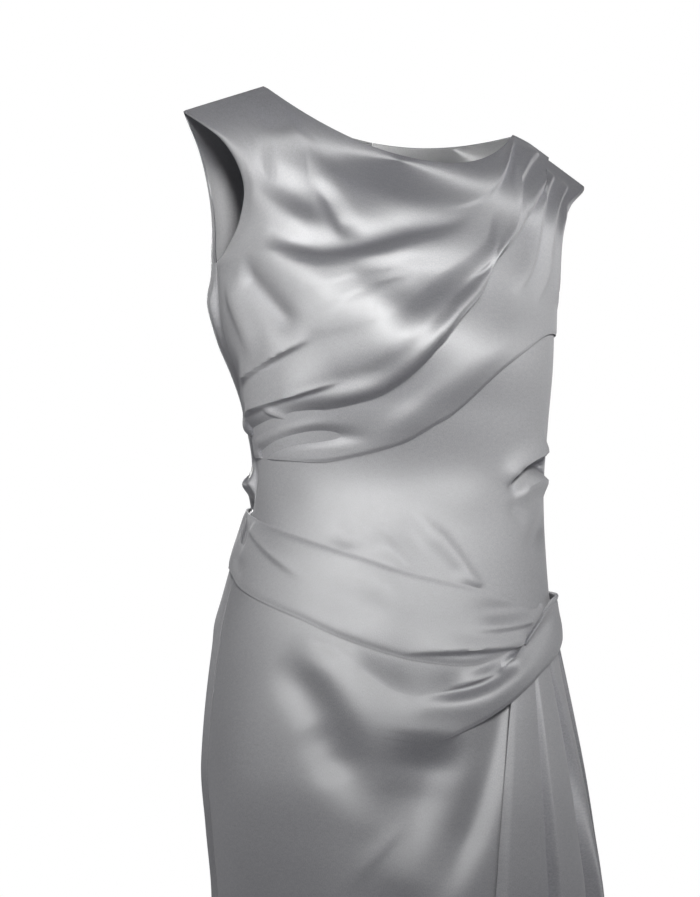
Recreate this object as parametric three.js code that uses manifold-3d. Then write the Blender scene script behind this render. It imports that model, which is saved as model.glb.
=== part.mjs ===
// A sleeveless draped pencil dress in heavy satin, as it hangs on a general figure.
// Millimetres. +X is the wearer's left, -Y the front, +Z up.
// The origin lies midway between the two neck points, at the height where the shoulders carry it.
import * as THREE from "three";
import Module from "manifold-3d";

const wasm = await Module();
wasm.setup();

// ---- driving sizes -------------------------------------------------------
const CLOTH = 1.5; // thickness of one wall of satin
const LAYER = 2.2; // one wall and its clearance: the step from layer to layer
const SEAM = 0.4; // gap between two panels at a seam
const HEM = -920; // height of the hem, at the knee
const UNDERARM = -150; // height where side seam and armhole meet
const ROUND = 210; // distance round the figure from one quarter line to the next
const STATION = 15; // every panel has its columns at the same steps round the figure
const SQUARENESS = 0.87; // below 1 fills out the corners of each section
const SHOULDER_TILT = THREE.MathUtils.degToRad(4.3); // the right shoulder is carried higher
const TILT_FROM = -330; // the tilt starts at the waist
const TILT_FULL = UNDERARM; // and is whole from the underarm up
const NECK_POINT = [117, 8, 12]; // where neckline and shoulder seam meet
const SHOULDER_TIP = [188, 5, -24]; // where shoulder seam and armhole meet
const CURVE_HOLD = 2.2; // how long a curved edge keeps its bow before it straightens
const FACING_DEPTH = 24; // width of the facing inside the back neck
const FACING_REACH = 312; // it starts just behind the neck point

// ---- tables --------------------------------------------------------------
// One row for each section; the first column is always the place of the row.
function table(columns, rows) {
  return rows.map((row) => Object.fromEntries(columns.map((name, i) => [name, row[i]])));
}

// Sections of the form, from the hem up to the underarm.
const SECTIONS = table(
  ["at", "centre", "half", "front", "back"],
  [
    [HEM, 31, 153, 98, 98],
    [-800, 31, 156, 101, 104],
    [-670, 29, 161, 105, 112],
    [-615, 22, 161, 108, 117],
    [-560, 15, 160, 110, 119],
    [-450, 9, 147, 108, 112],
    [-390, 11, 137, 102, 98],
    [-322, 16, 127, 97, 84],
    [-260, 10, 133, 110, 90],
    [-205, -1, 145, 125, 97],
    [UNDERARM, -4, 151, 114, 97],
  ],
);
// The armhole edges and the centre lines above the underarm, by share of the way up.
const FRONT_ARMHOLE = table(
  ["at", "x", "y", "z"],
  [
    [0, 153, 0, UNDERARM],
    [0.15, 149, -16, -140],
    [0.35, 143, -31, -116],
    [0.6, 144, -38, -84],
    [0.82, 160, -24, -50],
    [1, ...SHOULDER_TIP],
  ],
);
const BACK_ARMHOLE = table(
  ["at", "x", "y", "z"],
  [
    [0, 153, 0, UNDERARM],
    [0.15, 151, 14, -138],
    [0.35, 149, 28, -112],
    [0.6, 153, 36, -80],
    [0.82, 167, 26, -48],
    [1, ...SHOULDER_TIP],
  ],
);
const FRONT_CENTRE = table(
  ["at", "x", "y", "z"],
  [
    [0, 0, -114, UNDERARM],
    [0.35, 0, -108, -112],
    [0.6, 0, -95, -85],
    [1, 0, -62, -45],
  ],
);
const BACK_CENTRE = table(
  ["at", "x", "y", "z"],
  [
    [0, 0, 97, UNDERARM],
    [0.35, 0, 96, -100],
    [0.6, 0, 88, -62],
    [1, 0, 52, -6],
  ],
);

// Lines on the cloth. Round is the distance from the centre front, positive to the wearer's left,
// and beyond one quarter line it runs on over the back. Height is the pattern's height.
const LINE = ["at", "height"];
// Seam between bodice and skirt, hidden by the sash.
const WAIST_SEAM = table(LINE, [
  [-420, -372],
  [-300, -371],
  [-210, -379],
  [-147, -396],
  [-59, -418],
  [-10, -432],
  [46, -438],
  [110, -428],
  [210, -420],
  [300, -396],
  [420, -372],
]);
// The rolled fold that divides the upper drape from the band, right side seam to left shoulder.
const DRAPE_FOLD = table(LINE, [
  [-210, -285],
  [-110, -269],
  [-54, -257],
  [-30, -244],
  [-9, -223],
  [10, -191],
  [35, -155],
  [45, -124],
  [91, -81],
  [123, -36],
]);
// The finished lower edge of the band.
const BAND_EDGE = table(LINE, [
  [-210, -302],
  [-139, -306],
  [-93, -306],
  [-30, -290],
  [-2, -271],
  [40, -229],
  [71, -205],
  [111, -182],
  [160, -174],
  [210, -172],
]);
const SASH_TOP = table(LINE, [
  [-420, -345],
  [-270, -343],
  [-174, -357],
  [-67, -379],
  [-20, -392],
  [26, -404],
  [101, -416],
  [210, -408],
  [300, -372],
  [420, -345],
]);
const SASH_FOOT = table(LINE, [
  [-420, -400],
  [-300, -398],
  [-227, -397],
  [-188, -411],
  [-103, -434],
  [-59, -450],
  [-10, -465],
  [26, -468],
  [60, -456],
  [110, -438],
  [210, -434],
  [300, -418],
  [420, -400],
]);
// The loop of skirt cloth that is drawn up over the sash at the left hip.
const LOOP_TOP = table(LINE, [
  [-8, -494],
  [19, -484],
  [50, -470],
  [69, -454],
  [92, -435],
  [120, -416],
  [150, -406],
  [208, -400],
]);
const LOOP_FOOT = table(LINE, [
  [-8, -537],
  [4, -529],
  [31, -512],
  [52, -499],
  [71, -487],
  [96, -472],
  [129, -459],
  [160, -450],
  [208, -444],
]);

// Soft folds pressed out of a panel: a ridge of the given height and width along a line.
const FOLD = ["fromRound", "fromHeight", "toRound", "toHeight", "lift", "width"];
const DRAPE_RIDGES = table(FOLD, [
  [-150, -60, -20, -118, 5, 16],
  [-20, -118, 40, -80, 4, 14],
  [-175, -120, -60, -178, 5, 16],
  [-60, -178, 20, -150, 5, 15],
  [-200, -236, -120, -212, 5, 12],
  [-200, -262, -110, -240, 5, 12],
  [-160, -272, -10, -234, 3, 14],
  [0, -200, 60, -120, 3, 14],
]);
const BAND_RIDGES = table(FOLD, [
  [-205, -296, -60, -282, 3, 9],
  [-60, -282, 40, -200, 3, 12],
  [60, -170, 125, -60, 4, 12],
  [120, -160, 165, -40, 3, 10],
]);
const BODICE_RIDGES = table(FOLD, [
  [20, -330, 60, -405, 4, 10],
  [-30, -335, 10, -395, 2, 12],
  [120, -300, 200, -312, 4, 12],
]);
const SKIRT_RIDGES = table(FOLD, [
  [-90, -490, 0, -530, 5, 26],
  [-100, -470, -50, -600, 3, 26],
  [10, -540, -40, -640, 4, 26],
]);
const SASH_RIDGES = table(FOLD, [
  [-200, -375, -90, -410, 3, 10],
  [-10, -450, 60, -448, 3, 8],
  [10, -415, 100, -428, 3, 9],
]);
const LOOP_RIDGES = table(FOLD, [
  [0, -500, 90, -440, 4, 12],
  [90, -440, 170, -412, 3, 12],
]);
// Pleats of the cascade: where each folded edge lies at the loop and at the hem, and how far
// its ridge and the valley after it stand out at the hem.
const CASCADE_PLEATS = table(
  ["top", "hem", "ridge", "valley"],
  [
    [59, -6, 10, 3],
    [90, 76, 20, 8],
    [113, 178, 30, 14],
    [150, 197, 32, 10],
  ],
);
const CASCADE_LEFT = 207; // the cascade ends at the left side seam
const CASCADE_GROWTH = 0.85; // pleats open quickly below the loop, then hang straighter
const VALLEY_AT = 0.72; // each valley's place between one folded edge and the next

// ---- reading the tables --------------------------------------------------
// Smooth curve through one column of a table.
function read(rows, column, at) {
  const last = rows.length - 1;
  if (at <= rows[0].at) return rows[0][column];
  if (at >= rows[last].at) return rows[last][column];
  let i = 0;
  while (rows[i + 1].at < at) i += 1;
  const slope = (k) => {
    const a = rows[Math.max(k - 1, 0)];
    const b = rows[Math.min(k + 1, last)];
    return (b[column] - a[column]) / (b.at - a.at);
  };
  const step = rows[i + 1].at - rows[i].at;
  const s = (at - rows[i].at) / step;
  const rise = (3 - 2 * s) * s * s;
  const start = s * (1 - s) * (1 - s) * slope(i) * step;
  const end = s * s * (s - 1) * slope(i + 1) * step;
  return THREE.MathUtils.lerp(rows[i][column], rows[i + 1][column], rise) + start + end;
}
const heightOf = (line) => (round) => read(line, "height", round);
const smooth = (x) => THREE.MathUtils.smoothstep(x, 0, 1);
const mix = THREE.MathUtils.lerp;

// ---- the form ------------------------------------------------------------
// The upper edge from the neckline's centre over the neck point to the shoulder tip.
function topEdge(across, centre) {
  const neck = NECK_POINT[0] / SHOULDER_TIP[0];
  const out = Math.abs(across);
  const x = across * SHOULDER_TIP[0];
  if (out <= neck) {
    const k = (out / neck) ** CURVE_HOLD;
    return [x, mix(centre.y, NECK_POINT[1], k), mix(centre.z, NECK_POINT[2], k)];
  }
  const k = (out - neck) / (1 - neck);
  return [x, mix(NECK_POINT[1], SHOULDER_TIP[1], k), mix(NECK_POINT[2], SHOULDER_TIP[2], k)];
}

// A point of the form before the shoulders tilt. Height 0 is the upper edge.
function formPoint(round, height) {
  const lap = ((((round / ROUND + 1) % 4) + 4) % 4) - 1;
  const isBack = lap > 1;
  const turn = (Math.PI / 2) * (isBack ? 2 - lap : lap);
  const across = Math.sign(Math.sin(turn)) * Math.abs(Math.sin(turn)) ** SQUARENESS;
  const along = Math.abs(Math.cos(turn)) ** SQUARENESS;
  const depth = isBack ? "back" : "front";
  const facing = isBack ? 1 : -1;
  const level = Math.min(height, UNDERARM);
  const low = [
    read(SECTIONS, "centre", level) + read(SECTIONS, "half", level) * across,
    facing * read(SECTIONS, depth, level) * along,
    level,
  ];
  if (height <= UNDERARM) return low;
  const share = 1 - height / UNDERARM;
  const armhole = isBack ? BACK_ARMHOLE : FRONT_ARMHOLE;
  const centre = isBack ? BACK_CENTRE : FRONT_CENTRE;
  const high = topEdge(across, centre[centre.length - 1]);
  const nearEdge = Math.abs(across) ** CURVE_HOLD;
  return ["x", "y", "z"].map((axis, k) => {
    const bow = (line) => {
      const straight = mix(line[0][axis], line[line.length - 1][axis], share);
      return read(line, axis, share) - straight;
    };
    const edgeBow = bow(armhole) * nearEdge * (axis === "x" ? Math.sign(across) : 1);
    const centreBow = axis === "x" ? 0 : bow(centre) * (1 - nearEdge);
    return mix(low[k], high[k], share) + edgeBow + centreBow;
  });
}

function posed([x, y, z]) {
  const share = smooth((z - TILT_FROM) / (TILT_FULL - TILT_FROM));
  return new THREE.Vector3(x, y, z - Math.tan(SHOULDER_TILT) * x * share);
}

// Outward normal of the form, from two short steps on it.
const NORMAL_STEP = 1.5;
function formNormal(round, height) {
  const up = Math.min(height + NORMAL_STEP, 0);
  const down = height - NORMAL_STEP;
  const a = posed(formPoint(round - NORMAL_STEP, height));
  const b = posed(formPoint(round + NORMAL_STEP, height));
  const c = posed(formPoint(round, down));
  const d = posed(formPoint(round, up));
  return b.sub(a).cross(d.sub(c)).normalize();
}

// ---- cloth ---------------------------------------------------------------
function ridgeLift(ridges, round, height) {
  let lift = 0;
  for (const row of ridges) {
    const from = new THREE.Vector2(row.fromRound, row.fromHeight);
    const to = new THREE.Vector2(row.toRound, row.toHeight);
    const here = new THREE.Vector2(round, height).sub(from);
    const run = to.sub(from);
    const share = here.dot(run) / run.lengthSq();
    const near = THREE.MathUtils.clamp(share, 0, 1);
    const away = here.sub(run.multiplyScalar(near)).length() / row.width;
    lift += row.lift * Math.exp(-away * away);
  }
  return lift;
}

// The closed wall between an inner and an outer grid of points, column by column.
// A column is a list of { point, normal, lift }, from the foot up.
function closedWall(name, columns) {
  const positions = [];
  for (const face of [0, CLOTH]) {
    for (const { point, normal, lift } of columns.flat()) {
      const out = point.clone().addScaledVector(normal, lift + face);
      positions.push(out.x, out.y, out.z);
    }
  }
  const last = columns.length - 1;
  const tall = columns[0].length;
  const layer = columns.length * tall;
  const index = [];
  const quad = (a, b, c, d) => index.push(a, b, c, a, c, d);
  for (let i = 0; i < last; i += 1) {
    for (let j = 0; j < tall - 1; j += 1) {
      const a = i * tall + j;
      quad(layer + a, layer + a + tall, layer + a + tall + 1, layer + a + 1);
      quad(a, a + 1, a + tall + 1, a + tall);
    }
    const foot = i * tall;
    quad(foot, foot + tall, layer + foot + tall, layer + foot);
    const head = foot + tall - 1;
    quad(head + tall, head, layer + head, layer + head + tall);
  }
  for (let j = 0; j < tall - 1; j += 1) {
    quad(j + 1, j, layer + j, layer + j + 1);
    const end = last * tall + j;
    quad(end, end + 1, layer + end + 1, layer + end);
  }
  const geometry = new THREE.BufferGeometry();
  geometry.setAttribute("position", new THREE.Float32BufferAttribute(positions, 3));
  geometry.setIndex(index);
  geometry.computeVertexNormals();
  const mesh = new THREE.Mesh(geometry, satin());
  mesh.name = name;
  return mesh;
}

// The columns of a panel: its two ends and every common station between them.
function stations(from, to) {
  const places = [from];
  for (let at = Math.ceil((from + 2) / STATION) * STATION; at < to - 2; at += STATION) {
    places.push(at);
  }
  places.push(to);
  return places;
}

// One panel of cloth, from its foot line to its head line between two places round the figure.
// At a seam the wall stands square to the form, so its normal is taken just inside the panel.
function panel({ name, from, to, foot, head, rows, lift }) {
  const columns = stations(from, to).map((round) => {
    const inside = THREE.MathUtils.clamp(round, from + NORMAL_STEP, to - NORMAL_STEP);
    return Array.from({ length: rows + 1 }, (_, j) => {
      const height = mix(foot(round), head(round), j / rows);
      return {
        point: posed(formPoint(round, height)),
        normal: formNormal(inside, height),
        lift: lift(round, height),
      };
    });
  });
  return closedWall(name, columns);
}

function satin() {
  return new THREE.MeshStandardMaterial({ color: 0xaaabb0, roughness: 0.42, metalness: 0.25 });
}
function zipMetal() {
  return new THREE.MeshStandardMaterial({ color: 0x9b9ca1, roughness: 0.35, metalness: 0.9 });
}

// ---- bodice --------------------------------------------------------------
const side = ROUND - SEAM / 2;
const centreBack = 2 * ROUND - SEAM / 2;
const waistSeam = heightOf(WAIST_SEAM);
const drapeFold = heightOf(DRAPE_FOLD);
const bandEdge = heightOf(BAND_EDGE);
const sashTop = heightOf(SASH_TOP);
const sashFoot = heightOf(SASH_FOOT);
const TOP = -0.4; // panels stop just short of the shoulder line
const SEAM_FADE = 25; // folds die away over this distance before a seam
const FOLD_FADE = 30; // and over this distance where another layer lies on them
const SASH_CLEAR = 8; // bodice folds stop this far above the sash
const ROLL_LIFT = 3; // the drape's lower edge rolls out this far
const ROLL_WIDTH = 12;
const PLEATS_FROM = 70; // from here leftwards the drape lies on the band up to the shoulder
const UNDER_BAND = 26; // the lower front reaches this far up behind the band
const UNDER_DRAPE = 18; // and the band this far up behind the drape's rolled fold
const DRAPE_LEFT = 119; // the drape's last column on the left shoulder

function bodiceFront() {
  return panel({
    name: "bodice_front",
    from: -side,
    to: side,
    foot: (round) => waistSeam(round) + SEAM / 2,
    head: (round) => Math.min(bandEdge(round) + UNDER_BAND, UNDERARM - 4),
    rows: 8,
    lift: (round, height) => {
      const clear = smooth((height - sashTop(round) - SASH_CLEAR) / (2 * SASH_CLEAR));
      return ridgeLift(BODICE_RIDGES, round, height) * clear * softEnds(round, side);
    },
  });
}

// Folds die away towards the seams at both ends of a panel.
function softEnds(round, reach) {
  return smooth((reach - Math.abs(round)) / SEAM_FADE);
}

function drapeBand() {
  return panel({
    name: "drape_band",
    from: -side,
    to: side,
    foot: bandEdge,
    head: (round) => (round >= DRAPE_LEFT ? TOP : Math.min(drapeFold(round) + UNDER_DRAPE, TOP)),
    rows: 7,
    lift: (round, height) => {
      const below = smooth((drapeFold(round) - height) / ROLL_WIDTH);
      const free = round > DRAPE_LEFT ? 1 : below;
      return LAYER + ridgeLift(BAND_RIDGES, round, height) * free * softEnds(round, side);
    },
  });
}

function frontDrape() {
  return panel({
    name: "front_drape",
    from: -side,
    to: DRAPE_LEFT,
    foot: drapeFold,
    head: () => TOP,
    rows: 13,
    lift: (round, height) => {
      const aboveFold = height - drapeFold(round);
      const overBand = 1 - smooth((aboveFold - UNDER_DRAPE - LAYER) / FOLD_FADE);
      const nearLeft = smooth((round - PLEATS_FROM) / FOLD_FADE);
      const base = 2 * LAYER * Math.max(overBand, nearLeft);
      const edge = smooth(-height / SEAM_FADE) * smooth((round + side) / SEAM_FADE);
      const roll = ROLL_LIFT * Math.exp(-((aboveFold / ROLL_WIDTH) ** 2));
      return base + (ridgeLift(DRAPE_RIDGES, round, height) + roll) * edge;
    },
  });
}

function bodiceBack(name, from, to) {
  return panel({
    name,
    from,
    to,
    foot: (round) => waistSeam(round) + SEAM / 2,
    head: () => TOP,
    rows: 13,
    lift: () => 0,
  });
}

// A narrow facing lies inside the back neck.
function neckFacing(name, from, to) {
  return panel({
    name,
    from,
    to,
    foot: () => -FACING_DEPTH,
    head: () => TOP,
    rows: 2,
    lift: () => -LAYER,
  });
}

// ---- skirt ---------------------------------------------------------------
const loopTop = heightOf(LOOP_TOP);
const loopFoot = heightOf(LOOP_FOOT);
const SKIRT_CLEAR = 26; // skirt folds stop this far below the sash
const SKIRT_FOLDS_TO = 40; // and this far round, where the loop lies on the skirt
const LOOP_CLIMB = 45; // the loop rises over this distance from its right end

function skirtFront() {
  return panel({
    name: "skirt_front",
    from: -side,
    to: side,
    foot: () => HEM,
    head: (round) => waistSeam(round) - SEAM / 2,
    rows: 12,
    lift: (round, height) => {
      const clear = smooth((sashFoot(round) - height - SKIRT_CLEAR) / FOLD_FADE);
      const folds = ridgeLift(SKIRT_RIDGES, round, height) * clear * leftOfLoop(round);
      return folds * softEnds(round, side);
    },
  });
}

const leftOfLoop = (round) => smooth((SKIRT_FOLDS_TO - round) / FOLD_FADE);

function skirtBack(name, from, to) {
  return panel({
    name,
    from,
    to,
    foot: () => HEM,
    head: (round) => waistSeam(round) - SEAM / 2,
    rows: 10,
    lift: () => 0,
  });
}

const UNDER_LOOP = 5; // the cascade's head reaches this far up behind the loop
const LOOP_RISE = 4.8; // the loop climbs over the sash and the cascade's head
function skirtLoop() {
  return panel({
    name: "skirt_loop",
    from: LOOP_TOP[0].at,
    to: LOOP_TOP[LOOP_TOP.length - 1].at,
    foot: loopFoot,
    head: loopTop,
    rows: 5,
    lift: (round, height) => {
      const share = smooth((round - LOOP_TOP[0].at) / LOOP_CLIMB);
      const overSkirt = ridgeLift(SKIRT_RIDGES, round, height) * leftOfLoop(round);
      const folds = ridgeLift(LOOP_RIDGES, round, height) * share;
      return LAYER + LOOP_RISE * share + overSkirt + folds;
    },
  });
}

// The folds of the cascade at one share of its length: a ridge, then a valley, for each pleat.
function cascadeFolds(down) {
  const open = down ** CASCADE_GROWTH;
  const place = (pleat) => (pleat ? mix(pleat.top, pleat.hem, down) : CASCADE_LEFT);
  const folds = CASCADE_PLEATS.flatMap((pleat, i) => {
    const ridge = place(pleat);
    const valley = mix(ridge, place(CASCADE_PLEATS[i + 1]), VALLEY_AT);
    return [
      { round: ridge, lift: pleat.ridge * open },
      { round: valley, lift: pleat.valley * open },
    ];
  });
  return [...folds, { round: CASCADE_LEFT, lift: 0 }];
}

// The cascade falls in pleats from under the loop to the hem at the left hip. Its columns
// follow the folds.
function skirtCascade() {
  const rows = 9;
  const perFold = 3;
  const across = 2 * CASCADE_PLEATS.length * perFold;
  const columns = Array.from({ length: across + 1 }, (_, i) =>
    Array.from({ length: rows + 1 }, (__, j) => {
      const folds = cascadeFolds(1 - j / rows);
      const k = Math.min(Math.floor(i / perFold), folds.length - 2);
      const share = i / perFold - k;
      const round = mix(folds[k].round, folds[k + 1].round, share);
      const height = mix(HEM, loopFoot(round) + UNDER_LOOP, j / rows);
      return {
        point: posed(formPoint(round, height)),
        normal: formNormal(Math.min(round, ROUND - NORMAL_STEP), height),
        lift: LAYER + mix(folds[k].lift, folds[k + 1].lift, smooth(share)),
      };
    }),
  );
  return closedWall("skirt_cascade", columns);
}

// ---- sash ----------------------------------------------------------------
function sashPiece(name, from, to) {
  return panel({
    name,
    from,
    to,
    foot: sashFoot,
    head: sashTop,
    rows: 3,
    lift: (round, height) => LAYER + ridgeLift(SASH_RIDGES, round, height) * sashFree(round),
  });
}
const sashFree = (round) => smooth((PLEATS_FROM - round) / FOLD_FADE);

// ---- zip at the centre back ----------------------------------------------
// The slider sits closed at the back neck. Its crown carries the pull tab, which swings.
const ZIP = {
  height: -14, // pattern height of the slider
  width: 6,
  length: 9,
  base: 1.2,
  crown: 2.2, // width of the crown across the slider
  bar: 1.2, // thickness of the crown's arch and of the tab
  eye: 2.4, // clear height under the arch
  eyeLength: 3.2,
  tabWidth: 6,
  tabLength: 24,
  window: 6.5, // the tab's opening that the crown passes through
  windowWidth: 3.2,
  clearance: 0.3, // between the slider and the cloth
  sunk: 0.2, // the crown runs into the base so that the two join
  tip: 1.8, // half width of the tab at its foot
  reach: 6, // the slider leans with the cloth this far above and below it
};

function box(width, depth, height, x, y, z) {
  const geometry = new THREE.BoxGeometry(width, depth, height);
  geometry.translate(x, y, z);
  return geometry;
}

function solid(geometry) {
  const position = geometry.getAttribute("position");
  const keys = new Map();
  const vertices = [];
  const triangles = [];
  const corners = Array.from({ length: position.count }, (_, i) => i);
  const index = geometry.index ? geometry.index.array : corners;
  for (const corner of index) {
    const p = [position.getX(corner), position.getY(corner), position.getZ(corner)];
    const key = p.map((v) => v.toFixed(4)).join();
    if (!keys.has(key)) {
      keys.set(key, vertices.length / 3);
      vertices.push(...p);
    }
    triangles.push(keys.get(key));
  }
  return new wasm.Manifold(
    new wasm.Mesh({
      numProp: 3,
      vertProperties: new Float32Array(vertices),
      triVerts: new Uint32Array(triangles),
    }),
  );
}

function meshOf(name, manifold, material) {
  const data = manifold.getMesh();
  const geometry = new THREE.BufferGeometry();
  geometry.setAttribute("position", new THREE.BufferAttribute(data.vertProperties, 3));
  geometry.setIndex(new THREE.BufferAttribute(data.triVerts, 1));
  const mesh = new THREE.Mesh(geometry, material);
  mesh.name = name;
  return mesh;
}

// The slider in its own frame: y is out of the cloth, z up, the base's underside at y = 0.
function zipSlider() {
  const top = ZIP.base + ZIP.eye;
  const arch = ZIP.eyeLength + 2 * ZIP.bar;
  const tall = ZIP.eye + ZIP.bar + ZIP.sunk;
  const base = solid(box(ZIP.width, ZIP.base, ZIP.length, 0, ZIP.base / 2, 0));
  const crown = solid(
    box(ZIP.crown, tall, arch, 0, ZIP.base - ZIP.sunk + tall / 2, 0),
  );
  const eye = solid(box(ZIP.width, ZIP.eye, ZIP.eyeLength, 0, top - ZIP.eye / 2, 0));
  return meshOf("zip_slider", base.add(crown).subtract(eye), zipMetal());
}

// The tab hangs from the crown: its top bar lies in the eye, on the hinge axis.
function zipTab() {
  const shape = new THREE.Shape();
  const half = ZIP.tabWidth / 2;
  const point = ZIP.tip;
  const top = ZIP.bar / 2;
  shape.moveTo(-half, top);
  shape.lineTo(-half, top - ZIP.window - ZIP.bar);
  shape.lineTo(-point, top - ZIP.tabLength + point);
  shape.absarc(0, top - ZIP.tabLength + point, point, Math.PI, 2 * Math.PI, false);
  shape.lineTo(half, top - ZIP.window - ZIP.bar);
  shape.lineTo(half, top);
  const hole = new THREE.Path();
  const edge = ZIP.windowWidth / 2;
  hole.moveTo(-edge, -top);
  hole.lineTo(edge, -top);
  hole.lineTo(edge, -top - ZIP.window);
  hole.lineTo(-edge, -top - ZIP.window);
  hole.closePath();
  shape.holes.push(hole);
  const geometry = new THREE.ExtrudeGeometry(shape, {
    depth: ZIP.bar,
    bevelEnabled: false,
    curveSegments: 8,
  });
  geometry.translate(0, 0, -ZIP.bar / 2);
  geometry.rotateX(Math.PI / 2); // the outline's y becomes z
  const mesh = meshOf("zip_pull_tab", solid(geometry), zipMetal());
  mesh.position.y = ZIP.base + ZIP.eye / 2;
  return mesh;
}

// The zip's place: on the cloth at the centre back, leaning with it.
function zip() {
  const group = new THREE.Group();
  const round = 2 * ROUND;
  const seat = posed(formPoint(round, ZIP.height));
  const above = posed(formPoint(round, ZIP.height + ZIP.reach));
  const up = above.sub(posed(formPoint(round, ZIP.height - ZIP.reach)));
  const lean = Math.atan2(-up.y, up.z);
  group.add(zipSlider(), zipTab());
  group.rotation.x = lean;
  const out = new THREE.Vector3(0, Math.cos(lean), Math.sin(lean));
  group.position.set(seat.x, seat.y, seat.z).addScaledVector(out, CLOTH + ZIP.clearance);
  return group;
}

// ---- the dress -----------------------------------------------------------
const dress = new THREE.Group();
const BACKS = [
  ["left", ROUND + SEAM / 2, centreBack],
  ["right", -centreBack, -ROUND - SEAM / 2],
];
dress.add(bodiceFront(), drapeBand(), frontDrape());
dress.add(skirtFront(), skirtLoop(), skirtCascade());
for (const [hand, from, to] of BACKS) {
  dress.add(bodiceBack(`bodice_back_${hand}`, from, to));
  dress.add(skirtBack(`skirt_back_${hand}`, from, to));
}
dress.add(sashPiece("sash_front", -centreBack, side));
dress.add(sashPiece("sash_back_left", ROUND + SEAM / 2, centreBack));
dress.add(neckFacing("neck_facing_left", FACING_REACH, centreBack));
dress.add(neckFacing("neck_facing_right", -centreBack, -FACING_REACH));
dress.add(zip());
export default dress;
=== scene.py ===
# %% [markdown]
# # A draped satin dress
# This lesson makes the looks of a sleeveless pencil dress in heavy silver satin. The cut is
# settled before: every panel has its plain wall in the frame. Here each panel is made again
# as a fine thin sheet on the same form, with its folds laid in, one row for each fold.

# %% Load the frame
import math
import bpy
import numpy as np
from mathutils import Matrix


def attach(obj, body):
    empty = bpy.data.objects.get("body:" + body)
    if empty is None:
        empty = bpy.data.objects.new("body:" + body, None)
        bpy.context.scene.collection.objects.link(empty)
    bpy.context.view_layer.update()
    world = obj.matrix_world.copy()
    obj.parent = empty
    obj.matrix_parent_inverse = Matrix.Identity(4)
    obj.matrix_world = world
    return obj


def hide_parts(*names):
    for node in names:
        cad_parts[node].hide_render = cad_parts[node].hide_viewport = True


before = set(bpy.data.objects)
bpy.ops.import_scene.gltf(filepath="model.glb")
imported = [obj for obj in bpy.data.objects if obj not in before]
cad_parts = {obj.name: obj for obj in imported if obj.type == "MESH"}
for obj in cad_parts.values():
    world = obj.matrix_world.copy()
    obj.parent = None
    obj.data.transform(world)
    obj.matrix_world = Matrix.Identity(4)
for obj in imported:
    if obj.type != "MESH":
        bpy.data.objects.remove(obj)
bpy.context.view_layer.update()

# %% [markdown]
# ## Sizes
# The dress is measured in millimetres, as a pattern cutter does, and turned into metres
# when a mesh is made. The sizes are those of the plain walls.

# %% Driving sizes
MM = 0.001
CLOTH = 1.5           # one wall of satin in the plain model
LAYER = 2.2           # the step from layer to layer
SEAM = 0.4            # gap between two panels
HEM = -920.0          # height of the hem, at the knee
UNDERARM = -150.0     # where side seam and armhole meet
ROUND = 210.0         # distance round from one quarter line to the next
SQUARENESS = 0.87     # below 1 fills out the corners of each section
SHOULDER_TILT = math.radians(4.3)
TILT_FROM = -330.0
NECK_POINT = (117.0, 8.0, 12.0)
SHOULDER_TIP = (188.0, 5.0, -24.0)
FACING_DEPTH = 24.0
FACING_REACH = 312.0
TOP = -0.4            # panels stop just short of the shoulder line
SIDE = ROUND - SEAM / 2
CENTRE_BACK = 2 * ROUND - SEAM / 2


# %% [markdown]
# ## Tables
# A table has named columns and one row for each section, so a change of cut is a change of one
# number. A smooth curve runs through each column.

# %% Tables of the form
def table(columns, rows):
    return {name: np.array([row[i] for row in rows], float)
            for i, name in enumerate(columns.split())}


SECTIONS = table("at centre half front back", [
    (HEM, 31, 153, 98, 98),
    (-800, 31, 156, 101, 104),
    (-670, 29, 161, 105, 112),
    (-615, 22, 161, 108, 117),
    (-560, 15, 160, 110, 119),
    (-450, 9, 147, 108, 112),
    (-390, 11, 137, 102, 98),
    (-322, 16, 127, 97, 84),
    (-260, 10, 133, 110, 90),
    (-205, -1, 145, 125, 97),
    (UNDERARM, -4, 151, 114, 97)])
FRONT_ARMHOLE = table("at x y z", [
    (0, 153, 0, UNDERARM),
    (0.15, 149, -16, -140),
    (0.35, 143, -31, -116),
    (0.6, 144, -38, -84),
    (0.82, 160, -24, -50),
    (1, *SHOULDER_TIP)])
BACK_ARMHOLE = table("at x y z", [
    (0, 153, 0, UNDERARM),
    (0.15, 151, 14, -138),
    (0.35, 149, 28, -112),
    (0.6, 153, 36, -80),
    (0.82, 167, 26, -48),
    (1, *SHOULDER_TIP)])
FRONT_CENTRE = table("at x y z", [
    (0, 0, -114, UNDERARM),
    (0.35, 0, -108, -112),
    (0.6, 0, -95, -85),
    (1, 0, -62, -45)])
BACK_CENTRE = table("at x y z", [
    (0, 0, 97, UNDERARM),
    (0.35, 0, 96, -100),
    (0.6, 0, 88, -62),
    (1, 0, 52, -6)])
print("form tables:", len(SECTIONS["at"]), "sections")

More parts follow.
